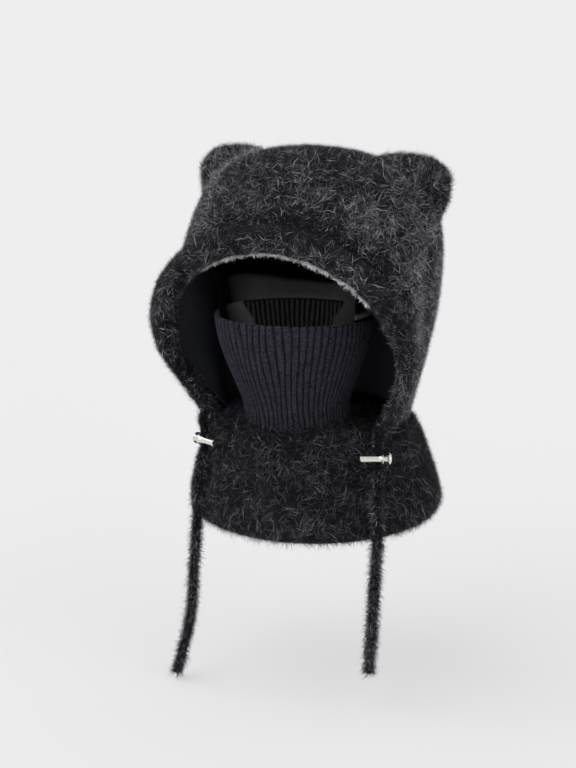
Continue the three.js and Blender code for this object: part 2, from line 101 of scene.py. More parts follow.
BRIM = {
    "long": [9.5, 11, 13, 16, 18.5, 17, 15, 15, 15, 14.5, 12, 10.5, 10],
    "thick": [8.5, 8.5, 9.5, 11.5, 12.5, 12, 11, 10.5, 10, 9.5, 8.5, 8, 8.5],
    "swing": [2, 2, 4, 8, 20, 34, 44, 38, 22, 8, 4, 2, 2],
    "inset": [-1, 3, 3, 0, -2, -2, -2, -2, -2, 0, 4, 4, -2],
}
BRIM_START, BRIM_END, OPENING_MIDDLE = 0.03, 0.035, -30.0
EAR = {
    "rise": [-16, 0, 10, 20, 28, 34, 37],
    "length": [40, 39, 35, 28, 20, 12, 0],
    "depth": [25, 21, 17, 14, 11.5, 8.5, 0],
    "back": [0, 0, 2, 4, 5, 6, 6],
    "out": [0, 0, 2, 4, 5, 6, 6],
}
EAR_SEAT, EAR_TILT = np.array([87.0, 58.0, 108.0]), math.radians(47)
TUBE = {
    "z": [0, -20, -41, -62, -80, -94, -102],
    "side": [73, 70, 63.5, 55.5, 49, 48, 48],
    "reach": [77, 74, 67.5, 59.5, 53, 52, 52],
    "y": [4, 4, 4, 5, 6, 8.5, 8.5],
    "tip": [5, 4, 3, 2, 1, 0, 0],
}
BIB = {
    "z": [-92, -96, -101, -118, -142, -166, -182, -192],
    "side": [45, 67, 92, 102, 110, 117, 119, 113],
    "reach": [49, 67, 89, 97, 104, 110, 112, 107],
    "y": [9, 18, 39, 43, 46, 48, 50, 50],
    "drop": [4, 6, 7, 6, 6, 8, 10, 10],
}
NAPE = {
    "z": [1.6, 6, 16, 28, 42, 60, 78],
    "out": [-1, 3, 19, 40, 66, 95, 120],
    "rim": [0, 0, 0, 1, 6, 25, 52],
}
NAPE_REACH, NAPE_TURN = math.radians(106), math.radians(27)
NAPE_ARCH = {"upper": 49.0, "lower": 37.0, "corner": 2.5, "shelf": -17.0, "foot": -50.0, "top": 2.0}
CORD_RADIUS, CORD_NECK, CORD_NECK_REACH = 4.0, 1.7, 6.5
STOPPERS = {"left": (93, -25, -121), "right": (-75, -33.5, -121)}
CORDS = {
    "left": (
        [(88, -8, -104), (91, -18, -107), (93, -24.5, -111)],
        [(94, -27.5, -138), (95.5, -31, -154), (97.5, -34, -172), (98.5, -36, -190), (97, -37, -221),
         (95.5, -37, -252), (94, -37, -285), (91.5, -37, -319)],
    ),
    "right": (
        [(-88.5, -8, -104), (-81.5, -22, -106), (-75.3, -32.3, -110.5)],
        [(-76.3, -35, -139), (-77.5, -38, -154), (-78, -40, -170), (-80, -41, -206), (-83, -42, -246),
         (-84.5, -42, -271), (-88, -42, -296), (-94.5, -42, -322), (-102.5, -42, -350)],
    ),
}


# Curves and surfaces
def between(table, t):
    """Every column of a table at t, 0 on its first row and 1 on its last, along Catmull-Rom curves."""
    count = len(next(iter(table.values())))
    at = np.clip(t, 0, 1) * (count - 1)
    row = np.minimum(at.astype(int), count - 2)
    part = at - row
    out = {}
    for name, values in table.items():
        column = np.asarray(values, float)
        before, start, end, after = (column[np.clip(row + k, 0, count - 1)] for k in (-1, 0, 1, 2))
        out[name] = 0.5 * (
            2 * start + (end - before) * part
            + (2 * before - 5 * start + 4 * end - after) * part**2
            + (3 * start - before - 3 * end + after) * part**3
        )
    return out


def unit(vectors):
    """Vectors divided by their lengths."""
    return vectors / np.maximum(np.linalg.norm(vectors, axis=-1, keepdims=True), 1e-12)


def normal_of(place, u, v, step=1e-3):
    """Unit cross product of a surface's two directions, from central differences kept inside 0 to 1."""
    u0, u1 = np.clip(u - step, 0, 1), np.clip(u + step, 0, 1)
    v0, v1 = np.clip(v - step, 0, 1), np.clip(v + step, 0, 1)
    return unit(np.cross(place(u1, v) - place(u0, v), place(u, v1) - place(u, v0)))


def sunk(place, depth):
    """The surface moved inwards along its normal by depth, one number or one for every point."""
    return lambda u, v: place(u, v) - np.asarray(depth)[..., None] * normal_of(place, u, v)


def hood(u, v):
    """Hoop v from front to back, a superellipse arch on two sine legs, at u from right foot to left foot."""
    hoop = between(HOOPS, v)
    climb = 1 - np.abs(2 * u - 1)
    half, foot = np.maximum(hoop["half"], 0), np.maximum(hoop["foot"], 0)
    power = 2 / np.maximum(hoop["square"], 2)
    part = np.clip(climb / LEG_SHARE, 0, 1)
    angle = np.clip((climb - LEG_SHARE) / (1 - LEG_SHARE), 0, 1) * math.pi / 2
    leg = climb < LEG_SHARE
    across = np.where(
        leg, foot + (half - foot) * np.sin(part * math.pi / 2), half * np.maximum(np.cos(angle), 0) ** power
    )
    height = np.where(
        leg,
        hoop["hem"] + (hoop["spring"] - hoop["hem"]) * part,
        hoop["spring"] + (hoop["top"] - hoop["spring"]) * np.sin(angle) ** power,
    )
    fall = (hoop["top"] - height) / (hoop["top"] - hoop["hem"])
    return np.stack([np.sign(u - 0.5) * across, hoop["y"] + hoop["lean"] * fall, height], axis=-1)


def oval(table, angle, v, grow=0.0):
    """Level oval of table row v at an angle from straight behind, tipped down at the back or the front."""
    row = between(table, v)
    back = np.cos(angle)
    tip = row["tip"] * (1 + back) / 2 if "tip" in row else 0
    drop = row["drop"] * (1 - back) / 2 if "drop" in row else 0
    x = (row["side"] + grow) * np.sin(angle)
    y = row["y"] + (row["reach"] + grow) * back
    return np.stack([x, y, row["z"] - tip - drop], axis=-1)


def bib(u, v):
    """Bib's ovals from the neck seam, v = 0, down to the hem, v = 1."""
    return oval(BIB, 2 * math.pi * u, v)


def brim(u, v):
    """Oval at angle 2 pi u carried along the hood's front edge, with half-round ends."""
    body = np.clip((v - BRIM_END) / (1 - 2 * BRIM_END), 0, 1)
    cap = np.clip(np.minimum(v, 1 - v) / BRIM_END, 0, 1)
    row = between(BRIM, body)
    at = BRIM_START + (1 - 2 * BRIM_START) * body
    zero = np.zeros_like(at)
    edge = hood(at, zero)
    tangent = unit(hood(at + 0.01, zero) - hood(at - 0.01, zero))
    swing = np.radians(row["swing"])[..., None]
    to_middle = unit(np.stack([-edge[..., 0], zero, OPENING_MIDDLE - edge[..., 2]], axis=-1))
    forward = np.array([0, -1.0, 0]) * np.cos(swing) + to_middle * np.sin(swing)
    forward = unit(forward - (forward * tangent).sum(-1, keepdims=True) * tangent)
    inward = np.cross(tangent, forward)
    middle = edge + forward * (row["long"][..., None] + BRIM_GAP) + inward * row["inset"][..., None]
    swell = np.sqrt(np.maximum(1 - (1 - cap) ** 2, 0))[..., None]
    angle = 2 * math.pi * u[..., None]
    beyond = ((1 - cap) * row["thick"] * np.where(v < 0.5, -1, 1))[..., None]
    return (
        middle
        + forward * row["long"][..., None] * swell * np.cos(angle)
        + inward * row["thick"][..., None] * swell * np.sin(angle)
        + tangent * beyond
    )


def ear_of(side):
    """The ear pouch of one side: level ovals of its table, tilted outwards and set on its seam."""

    def ear(u, v):
        row = between(EAR, v)
        closing = np.where(v > 1 - 1e-6, 0, 1)
        x = side * row["out"] + row["length"] * closing * np.cos(2 * math.pi * u)
        y = row["back"] + row["depth"] * closing * np.sin(2 * math.pi * u)
        z = row["rise"]
        turned_x = x * math.cos(EAR_TILT) + side * z * math.sin(EAR_TILT)
        turned_z = z * math.cos(EAR_TILT) - side * x * math.sin(EAR_TILT)
        return np.stack([turned_x, y, turned_z], axis=-1) + EAR_SEAT * [side, 1, 1]

    return ear


# Meshes
def grid(across, along):
    """u and v of a grid, across by along points."""
    return np.meshgrid(np.linspace(0, 1, across), np.linspace(0, 1, along), indexing="ij")


def mesh_of(name, points, quads, triangles, values):
    """A mesh piece from face-frame points, four-cornered and three-cornered faces, and point values."""
    data = bpy.data.meshes.new(name)
    faces = [
        np.asarray(quads, np.int32).reshape(-1, 4),
        np.asarray(triangles, np.int32).reshape(-1, 3),
    ]
    corners = np.concatenate([f.ravel() for f in faces])
    sizes = np.concatenate([np.full(len(f), f.shape[1]) for f in faces])
    data.vertices.add(len(points))
    data.loops.add(len(corners))
    data.polygons.add(len(sizes))
    data.vertices.foreach_set("co", placed(points).astype(np.float32).ravel())
    data.loops.foreach_set("vertex_index", corners)
    data.polygons.foreach_set("loop_start", np.concatenate([[0], np.cumsum(sizes)[:-1]]).astype(np.int32))
    for key, numbers in values.items():
        layer = data.attributes.new(key, "FLOAT", "POINT")
        layer.data.foreach_set("value", np.asarray(numbers, np.float32).ravel())
    data.update(calc_edges=True)
    data.validate()
    piece = bpy.data.objects.new(name, data)
    bpy.context.scene.collection.objects.link(piece)
    return piece


def merged(points, quads):
    """Points that coincide made one, and faces that lose a corner turned into triangles."""
    _, first, inverse = np.unique(np.round(points, 4), axis=0, return_index=True, return_inverse=True)
    faces = inverse.reshape(-1)[quads]
    same = faces == np.roll(faces, -1, axis=1)
    whole = faces[~same.any(axis=1)]
    bent = faces[same.sum(axis=1) == 1]
    keep = ~(bent == np.roll(bent, -1, axis=1))
    return first, whole, bent[keep].reshape(-1, 3)


def grid_quads(across, along, start=0, flip=False):
    """Four-cornered faces between the neighbours of a grid of points stored row by row."""
    row, column = np.meshgrid(np.arange(across - 1), np.arange(along - 1), indexing="ij")
    corner = (row * along + column + start).ravel()
    quads = np.stack([corner, corner + along, corner + along + 1, corner + 1], axis=1)
    return quads[:, ::-1] if flip else quads


def tree_of(points):
    """A search tree over the surface of a grid of points."""
    corners = [Vector(point) for point in points.reshape(-1, 3)]
    return BVHTree.FromPolygons(corners, grid_quads(*points.shape[:2]).tolist())


def joined(name, points, quads, values):
    """A smooth mesh piece from points and four-cornered faces, with the points that coincide made one."""
    first, whole, bent = merged(points, quads)
    kept = {key: np.ravel(numbers)[first] for key, numbers in values.items()}
    piece = mesh_of(name, points[first], whole, bent, kept)
    piece.data.shade_smooth()
    return piece


def wall(name, outer, inner, values=None, round_u=False):
    """A closed cloth wall between two grids of points, with a strip round every open edge. Its values are
    those of the outer grid's points and then of the inner grid's."""
    across, along = outer.shape[:2]
    count = across * along
    ids = np.arange(count).reshape(across, along)
    quads = [grid_quads(across, along), grid_quads(across, along, count, True)]
    edges = [(ids[:, 0], False), (ids[:, -1], True)]
    if not round_u:
        edges += [(ids[0], True), (ids[-1], False)]
    for line, flip in edges:
        here, there = line[:-1], line[1:]
        strip = np.stack([there, here, here + count, there + count], axis=1)
        quads.append(strip[:, ::-1] if flip else strip)
    points = np.concatenate([outer.reshape(-1, 3), inner.reshape(-1, 3)])
    return joined(name, points, np.concatenate(quads), values or {})


def closed(name, points):
    """A closed surface from a grid that meets itself in u and ends in points or lids in v."""
    return joined(name, points.reshape(-1, 3), grid_quads(*points.shape[:2]), {})


def run_along(lines):
    """The length run from the first point up to each point of a line, or of each line of a grid."""
    steps = np.linalg.norm(np.diff(lines, axis=-2), axis=-1)
    return np.concatenate([np.zeros_like(steps[..., :1]), np.cumsum(steps, axis=-1)], axis=-1)


SCATTER_GRID = (260, 180)


def scatter(place, count, rng, weight=None):
    """u and v of count points spread evenly by area, or by area times weight(points)."""
    u, v = grid(*SCATTER_GRID)
    points = place(u, v)
    side_u = points[1:, :-1] - points[:-1, :-1]
    side_v = points[:-1, 1:] - points[:-1, :-1]
    area = np.linalg.norm(np.cross(side_u, side_v), axis=-1)
    if weight is not None:
        area = area * weight(points[:-1, :-1])
    cell = rng.choice(area.size, count, p=area.ravel() / area.sum())
    row, column = np.unravel_index(cell, area.shape)
    u = (row + rng.random(count)) / (SCATTER_GRID[0] - 1)
    v = (column + rng.random(count)) / (SCATTER_GRID[1] - 1)
    return u, v


WAYS = 4096                            # how many random directions a coat of fur has
CELL_FACTORS = np.array([73856093, 19349663, 83492791])


def tufted(points, rng, size=9.0):
    """A random direction for each point, the same for all points of one warped cell of that size."""
    warp = size * 0.45 * np.sin(points[:, [1, 2, 0]] / (size * 0.8) + points[:, [2, 0, 1]] / (size * 1.7))
    cell = np.floor((points + warp) / size).astype(np.int64) * CELL_FACTORS
    pick = (cell[:, 0] ^ cell[:, 1] ^ cell[:, 2]) % WAYS
    return unit(rng.normal(size=(WAYS, 3)))[pick]


def patchy(points, size):
    """A slow pattern from 0 to 1 over the points, made of a few crossed sine waves."""
    x, y, z = (points / size).T
    waves = np.sin(2.1 * x + 1.3 * y) + np.sin(1.7 * y - 2.3 * z + 1) + np.sin(2.6 * z + 1.1 * x + 2)
    return np.clip(0.5 + waves / 5, 0, 1)


def strands(name, roots, normals, rng, length, width, lifts, tone, pull, curl=14.0, loose=0.5):
    """Tapered ribbons in one mesh. Each leaves its root along pull and a loose random part, rises by one
    lift after the other, turns on by its own curl at every joint, and ends in a point."""
    count, joints = len(roots), len(lifts)
    flow = pull + loose * rng.normal(size=(count, 3))
    flow = unit(flow - (flow * normals).sum(-1, keepdims=True) * normals)
    cross = np.cross(normals, flow)
    turn = np.radians(rng.normal(0, curl, count))
    reach = length * (0.5 + rng.random(count)) / joints
    wide = width * (0.6 + 0.8 * rng.random(count)) * (1 + 1.1 * tone)
    lean = 0.6 + 0.8 * rng.random(count)
    roll = rng.normal(0, 0.7, count)
    here = roots.copy()
    rows = []
    for k, lift in enumerate(lifts):
        bend = turn * k
        level = flow * np.cos(bend)[:, None] + cross * np.sin(bend)[:, None]
        step = unit(level + normals * (lift * lean)[:, None])
        flat = unit(np.cross(step, normals))
        tilt = flat * np.cos(roll)[:, None] + np.cross(flat, step) * np.sin(roll)[:, None]
        half = tilt * (wide * (1 - 0.4 * k / joints) / 2)[:, None]
        rows += [here - half, here + half]
        here = here + step * reach[:, None]
    rows.append(here)
    points = np.stack(rows, axis=1)
    per = 2 * joints + 1
    start = (np.arange(count) * per)[:, None]
    quads = [start + np.array([0, 1, 3, 2]) + 2 * k for k in range(joints - 1)]
    tips = start + np.array([2 * joints - 2, 2 * joints - 1, 2 * joints])
    along = np.append(np.repeat(np.arange(joints), 2), joints) / joints
    values = {"tone": np.repeat(tone, per), "along": np.tile(along, count)}
    return mesh_of(name, points.reshape(-1, 3), np.concatenate(quads) if quads else [], tips, values)


# Materials
class Socket:
    """One output of a material's node, with Python's operators for the shader's arithmetic."""

    def __init__(self, look, output):
        self.look, self.output = look, output

    def math(self, operation, first, second):
        """A math node on two values, each an output or a number."""
        return self.look.node("ShaderNodeMath", {"operation": operation}, {0: first, 1: second})

    def __add__(self, other):
        return self.math("ADD", self, other)

    def __sub__(self, other):
        return self.math("SUBTRACT", self, other)

    def __rsub__(self, other):
        return self.math("SUBTRACT", other, self)

    def __mul__(self, other):
        return self.math("MULTIPLY", self, other)

    __radd__ = __add__
    __rmul__ = __mul__

    def clamp(self, low=0, high=1):
        """The value kept between low and high."""
        return self.math("MINIMUM", self.math("MAXIMUM", self, low), high)


class Look:
    """A material that is built from nodes, one call a node."""

    def __init__(self, name, **constants):
        self.material = bpy.data.materials.new(name)
        self.material.use_nodes = True
        self.tree = self.material.node_tree
        self.shader = self.tree.nodes["Principled BSDF"]
        for key, value in constants.items():
            self.shader.inputs[key.replace("_", " ").title().replace("Ior", "IOR")].default_value = value

    def node(self, kind, settings=None, inputs=None, output=0):
        """One node with its settings and its inputs, each an output or a plain value."""
        made = self.tree.nodes.new(kind)
        for key, value in (settings or {}).items():
            setattr(made, key, value)
        for key, value in (inputs or {}).items():
            if isinstance(value, Socket):
                self.tree.links.new(value.output, made.inputs[key])
            else:
                made.inputs[key].default_value = value
        return Socket(self, made.outputs[output])

    def feed(self, name, value):
        """Links a value to the shader's input of that name."""
        self.tree.links.new(value.output, self.shader.inputs[name])

    def value(self, name):
        """A value that the mesh holds at its points."""
        return self.node("ShaderNodeAttribute", {"attribute_name": name}, output="Fac")

    def noise(self, scale, detail):
        """Noise over the object's own metres."""
        place = self.node("ShaderNodeTexCoord", output="Object")
        return self.node("ShaderNodeTexNoise", inputs={"Vector": place, "Scale": scale, "Detail": detail})

    def blend(self, factor, low, high):
        """From one colour to another, each an output or red, green and blue."""
        low, high = ((*colour, 1) if isinstance(colour, tuple) else colour for colour in (low, high))
        return self.node("ShaderNodeMix", {"data_type": "RGBA"}, {0: factor, 6: low, 7: high}, output=2)

    def bump(self, height, distance):
        """Bends the shader's normal by a height that is distance metres at 1."""
        inputs = {"Height": height, "Distance": distance, "Strength": 1.0}
        self.feed("Normal", self.node("ShaderNodeBump", inputs=inputs, output="Normal"))


def strand_look(name, dark, middle, light):
    """Fibres: darkest at the root, towards the light colour with their tone and their length."""
    look = Look(name, roughness=0.6, specular_ior_level=0.2)
    tone, along = look.value("tone"), look.value("along")
    shade = (tone * (along * 0.6 + 0.4)).clamp()
    low = look.blend((along * 1.3).clamp(), dark, middle)
    look.feed("Base Color", look.blend(shade, low, light))
    return look.material


def skin_look(name, dark, light):
    """Felted ground under the fibres: blotched by two noises, with a deep fine bump."""
    look = Look(name, roughness=0.95, specular_ior_level=0.1)
    fine, wide = look.noise(900, 4), look.noise(90, 3)
    look.feed("Base Color", look.blend((fine * 0.7 + wide * 0.5 - 0.2).clamp(), dark, light))
    look.bump(fine, 0.0012)
    return look.material


def knit_look(name, dark, light, fleck, inside):
    """Rib knit: heathered on the ribs, with light flecks of fibre, and dark in soft ragged grooves as
    painted shade. On its inner face, painted shade between the ribs and painted light on them, in a paler
    colour."""
    look = Look(name, roughness=0.9, specular_ior_level=0.12)
    rib, inner = look.value("rib"), look.value("inner")
    heather, mottle, specks = look.noise(560, 4), look.noise(150, 3), look.noise(900, 3)
    # painted shade: the colour falls to dark in the grooves between the ribs
    ridge = ((rib + heather * 0.5 - 0.75) * 1.5 + 0.5).clamp()
    tint = (ridge * ((heather - 0.5) * 1.9 + (mottle - 0.5) * 0.9 + 0.5)).clamp()
    speck = ((specks - 0.56) * 8).clamp() * ridge
    ground = look.blend(speck * 0.4, look.blend(tint, dark, light), fleck)
    # inner face: painted shade between its ribs, and painted light on them in the inside colour
    hollow = ((rib + heather * 0.9 - 1.1) * 3.5 + 0.5).clamp()
    ground = look.blend(inner * (1 - hollow), ground, dark)
    look.feed("Base Color", look.blend(inner * hollow * 0.8, ground, inside))
    look.bump(heather * 1.5 + specks * 0.5, 0.0009)
    return look.material


def jersey_look(name, dark, light, other):
    """Smooth fine jersey: near plain colour, a slow blotch and a very fine bump. It turns to the other
    colour with its value far: painted light on the lining, painted shade on the nape panel."""
    look = Look(name, roughness=0.95, specular_ior_level=0.08)
    slow, fine = look.noise(25, 3), look.noise(2200, 2)
    tint = look.blend((slow * 0.8 + fine * 0.4 - 0.1).clamp(), dark, light)
    tint = look.blend((look.value("far") + slow * 0.1).clamp(), tint, other)
    look.feed("Base Color", tint)
    look.bump(fine * 0.6 + slow * 0.8, 0.0004)
    return look.material


def nickel_look(name):
    """Bright plated metal: fine scratches in its roughness."""
    look = Look(name, metallic=1.0)
    scratch = look.noise(900, 4)
    look.feed("Base Color", look.blend(scratch, (0.70, 0.67, 0.62), (0.86, 0.84, 0.80)))
    look.feed("Roughness", (scratch * 0.2 + 0.14).clamp())
    return look.material


FUR = strand_look("fur_fibre", (0.001, 0.001, 0.0015), (0.007, 0.0073, 0.0105), (0.78, 0.79, 0.86))
# Painted shade: the fibres made darker for the bib under the hood; the cords wear them too.
SHADED_FUR = strand_look("fur_fibre_painted_shade", (0.001, 0.001, 0.0015), (0.005, 0.0052, 0.0075), (0.38, 0.385, 0.43))
# Painted highlight: near-white fuzz for the lit fibres on the brim's lower edge.
HIGHLIGHT_FUZZ = strand_look("fuzz_highlight", (0.28, 0.28, 0.28), (0.55, 0.55, 0.56), (0.95, 0.95, 0.96))
SKIN_LOOK = skin_look("fur_ground", (0.0015, 0.0015, 0.002), (0.007, 0.007, 0.010))
# The fourth colour is painted light on the ribs of the inner face.
KNIT = knit_look(
    "rib_knit", (0.004, 0.004, 0.0055), (0.034, 0.035, 0.048), (0.08, 0.082, 0.1), (0.10, 0.101, 0.102)
)
# The lining's third colour is painted light, on its left side.
JERSEY = jersey_look("smooth_lining", (0.018, 0.019, 0.025), (0.037, 0.039, 0.050), (0.095, 0.098, 0.13))
# Painted light and shade: a lit grey for the lining's back wall by the rim, turning to black painted shade
# deeper in.
NAPE_PAINTED_LOOK = jersey_look("nape_panel_painted_light_and_shade", (0.13, 0.13, 0.132), (0.25, 0.25, 0.253), (0.001, 0.001, 0.001))
NICKEL = nickel_look("nickel")


def dress(piece, look, slot, *nodes):
    """Gives a piece its material and body, and hides the CAD nodes that it stands for. Its slot is not used.
    """
    piece.data.materials.append(look)
    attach(piece, BODY)
    if nodes:
        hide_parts(*nodes)
    return piece


# Furry cloth
def clump(points):
    """1 in the middle of a tuft of pile and 0 in the valley beside it, by crossed waves 4 to 9 mm long.
    tones() paints shade in the valleys with it.
    """
    slow = patchy(points, 3.6)
    quick = patchy(points[:, [2, 0, 1]] + 40, 1.7)
    return np.clip(2.0 * (0.4 * slow + 0.6 * quick) - 0.45, 0, 1)


def tones(roots, normals, rng, pale, tuft):
    """Most fibres dark, a share of them pale: more in patches, more on tufts and fewer in the valleys
    between them as painted shade, and fewer where the cloth faces up as painted shade on its top."""
    patch = 0.5 * patchy(roots, 17.0) + 0.5 * patchy(roots[:, [1, 2, 0]] + 70, 9.0)
    # painted shade: the pale share falls in the valleys between tufts and where the cloth faces up
    share = pale * (0.3 + 1.3 * tuft) * (0.1 + 1.8 * patch) * (1 - 0.6 * np.clip(normals[:, 2], 0, 1))
    count = len(roots)
    light = 0.2 + 0.8 * rng.random(count) ** 2.2
    return np.where(rng.random(count) < share, light, 0.04 * rng.random(count))


COATS = {
    "under": {"pale": 0.85, "bright": 0.7, "long": 0.72, "width": 0.21, "lifts": (0.7,)},
    "over": {"pale": 1.45, "bright": 1.0, "long": 1.05, "width": 0.18, "lifts": (0.55, 0.35)},
}
FUR_CURL, FUR_LOOSE = 22.0, 0.8


def fur_on(name, roots, normals, rng, kind, length, pale, comb, look=FUR, shade=1.0):
    """One piece of fibres on given roots: straight ones of the undercoat, or bent ones over them."""
    coat = COATS[kind]
    pull = tufted(roots, rng) + np.asarray(comb, float)
    # painted shade and highlight come in through shade: it scales the tufts, and with them the share of pale
    # fibres and their length
    tuft = clump(roots) * shade
    tone = tones(roots, normals, rng, pale * coat["pale"], tuft) * coat["bright"]
    long = length * coat["long"] * (0.72 + 0.5 * tuft)
    piece = strands(
        name, roots, normals, rng, long, coat["width"], coat["lifts"], tone, pull, FUR_CURL, FUR_LOOSE
    )
    return dress(piece, look, "fur")


def even_shade(u, v):
    """The same share of pale fibres all over."""
    return 1.0


def furry(
    name, place, seed, under, over, length, pale, comb, look=FUR, weight=None, shade=even_shade, parts=1
):
    """Short dense undercoat and longer fibres over a surface, each in as many pieces as parts."""
    rng = np.random.default_rng(seed)
    base = sunk(place, SKIN)
    for k in range(parts):
        for kind, count in (("under", under), ("over", over)):
            u, v = scatter(place, count // parts, rng, weight)
            roots, normals = base(u, v), normal_of(place, u, v)
            fur_on(f"{name}_{kind}_{k}", roots, normals, rng, kind, length, pale, comb, look, shade(u, v))


FRONT = 60.0                           # the y up to which the cloth counts as its front


def front_most(points):
    """Fibres are half as dense again on the front."""
    return 1.0 + 0.5 * (points[..., 1] < FRONT)


def hood_crease_painted_shade(u, v):
    """Painted shade in the crease at the brim, v = 0: fewer pale fibres there, and shorter ones."""
    return np.clip(9 * v - 0.05, 0, 1)


HOOD_GRID = (161, 101)
SEAM_REACH, SEAM_DEPTH = 0.05, 0.3     # the v up to which the skin rises to the brim, and its least depth


def build_hood():
    """Hood: its skin, and fibres all over."""
    u, v = grid(*HOOD_GRID)
    depth = SKIN * np.clip(v / SEAM_REACH, SEAM_DEPTH, 1)
    piece = wall("hood_skin", sunk(hood, depth)(u, v), sunk(hood, BACKING)(u, v))
    dress(piece, SKIN_LOOK, "fur", "hood_shell")
    furry(
        "hood_fur", hood, seed=11, under=180000, over=52000, length=7.6, pale=0.38, comb=(0, 0, -0.3),
        weight=front_most, shade=hood_crease_painted_shade, parts=2,
    )


HEM_FIBRES, HEM_FROM = 4000, 0.93      # fibres that hang over the bib's hem, from this v down


def build_bib():
    """Bib: its skin, fibres all over that hang a little, and more fibres down over the hem, all darkened as
    painted shade.
    """
    u, v = grid(181, 61)
    piece = wall("bib_skin", sunk(bib, SKIN)(u, v), sunk(bib, BACKING)(u, v), round_u=True)
    dress(piece, SKIN_LOOK, "fur", "neck_bib")
    # painted shade under the hood: the darker fibres, and fewer pale ones than on the hood
    furry(
        "bib_fur", bib, seed=12, under=100000, over=36000, length=8.0, pale=0.17, comb=(0, 0, -0.4),
        look=SHADED_FUR, weight=front_most,
    )
    rng = np.random.default_rng(15)
    u, v = rng.random(HEM_FIBRES), HEM_FROM + (1 - HEM_FROM) * rng.random(HEM_FIBRES)
    roots = sunk(bib, SKIN)(u, v)
    ways = normal_of(bib, u, v) * 0.5 + [0, 0, -0.8]
    fur_on("bib_hem_fur", roots, ways, rng, "over", length=5.0, pale=0.15, comb=(0, 0, -1.0), look=SHADED_FUR)


def brim_lowest(v):
    """The u of the brim's inner outline as the camera sees it, a little on the near side, at each v."""
    u = np.linspace(0, 1, 181)
    points = brim(*np.meshgrid(u, v, indexing="ij"))
    towards = np.array([0, 0, OPENING_MIDDLE]) - points.mean(axis=0)
    towards = unit(towards - (towards @ ahead)[:, None] * ahead) - 0.3 * ahead
    return u[np.einsum("ijk,jk->ij", points, towards).argmax(axis=0)]


def brim_painted_shade_and_highlight(u, v):
    """Painted shade down in the crease at the hood, u = 0.6, as fewer pale fibres, and a painted
    highlight on top of the roll beside it, as more pale fibres.
    """
    crease_shade = np.exp(-(((u - 0.60) / 0.08) ** 2))
    # painted highlight: more pale fibres on top of the roll
    ridge = np.exp(-(((u - 0.79) / 0.06) ** 2) - ((v - 0.5) / 0.2) ** 2)
    return 1 - crease_shade + 0.5 * ridge


def build_brim():
    """Brim: a padded fold that is drawn out to its seam on the hood, u = 0.5, and furry all round."""
    u, v = grid(49, 261)
    seam = np.exp(-(((u - 0.5) / 0.07) ** 2)) * np.clip(np.minimum(v, 1 - v) / 0.1, 0, 1)
    points = sunk(brim, SKIN * (1 - 0.8 * seam))(u, v)
    piece = closed("brim_skin", points + 0.1 * seam[..., None] * (points - brim(u * 0, v)))
    dress(piece, SKIN_LOOK, "fur", "brim")
    furry(
        "brim_fur", brim, seed=13, under=85000, over=28000, length=6.6, pale=0.13, comb=(0, 0, -0.2),
        shade=brim_painted_shade_and_highlight,
    )


FUZZ_COUNT = 7000                      # tried along the brim, before they are thinned
FUZZ_FROM, FUZZ_SPAN = 0.385, 0.29     # in v: over the top of the opening and down a little on the left
FUZZ_DENSE_FROM = 0.665


def build_fuzz_highlight():
    """Pale fuzz in a broken line along the brim's lower edge: a painted highlight of its lit fibres, set
    where the camera sees that edge.
    """
    rng = np.random.default_rng(14)
    v = FUZZ_FROM + FUZZ_SPAN * rng.random(FUZZ_COUNT)
    dense = np.clip(0.5 + 0.8 * np.sin(210 * v) * np.sin(67 * v + 1), 0, 1) + (v > FUZZ_DENSE_FROM)
    start = np.clip((v - FUZZ_FROM + 0.005) / 0.04, 0, 1)
    v = v[rng.random(FUZZ_COUNT) < (0.15 + 0.85 * dense) * start]
    u = (brim_lowest(v) + 0.02 * np.sin(130 * v) * np.sin(37 * v) + rng.normal(0, 0.013, len(v))) % 1
    roots, normals = sunk(brim, 1.2)(u, v), normal_of(brim, u, v)
    pull = np.array([0, -0.35, -0.9]) + 0.8 * tufted(roots, rng, 3.0)
    tone = 0.2 + 0.8 * rng.random(len(v))
    long = 3.0 * (0.4 + 1.4 * rng.random(len(v)) ** 2)
    dress(strands("brim_fuzz_highlight", roots, normals, rng, long, 0.28, (0.8, 0.4), tone, pull), HIGHLIGHT_FUZZ, "fur")


EAR_SEAM_TRIED, EAR_SEAM_REACH = 18000, 4.0   # fibres tried beside the seam for its painted highlight, and how far it spreads


def build_ears():
    """Ears: each a pouch with its skin and fibres, more pale ones on the right ear as painted light, and
    paler fibres along its front seam on the hood as a painted highlight.
    """
    tree = tree_of(hood(*grid(*HOOD_GRID)))
    for name, side in SIDES.items():
        ear = ear_of(side)
        u, v = grid(65, 33)
        piece = closed(f"ear_skin_{name}", sunk(ear, SKIN)(u, v * 0.999))
        dress(piece, SKIN_LOOK, "fur", f"ear_{name}")
        # painted light: more pale fibres on the right ear, on the side that the key lamp lights
        furry(
            f"ear_fur_{name}", ear, seed=20 + side, under=20000, over=6400, length=7.0,
            pale=0.27 - 0.09 * side, comb=(0, 0, 0.2),
        )
        rng = np.random.default_rng(40 + side)
        u, v = 0.5 + 0.5 * rng.random(EAR_SEAM_TRIED), 0.6 * rng.random(EAR_SEAM_TRIED)
        roots, normals = sunk(ear, 0.5)(u, v), normal_of(ear, u, v)
        gap = np.array([tree.find_nearest(Vector(root))[3] for root in roots])
        near = rng.random(EAR_SEAM_TRIED) < 0.6 * np.exp(-((gap / EAR_SEAM_REACH) ** 2))
        # painted highlight: pale fibres along the seam, many more on the right ear
        fur_on(
            f"ear_seam_highlight_fur_{name}", roots[near], normals[near], rng, "over", length=6.5,
            pale=0.75 - 0.6 * side, comb=(-0.7 * side, -0.6, -0.3),
        )


# Rib-knit tube
RIBS, POINTS_A_RIB = 80, 7


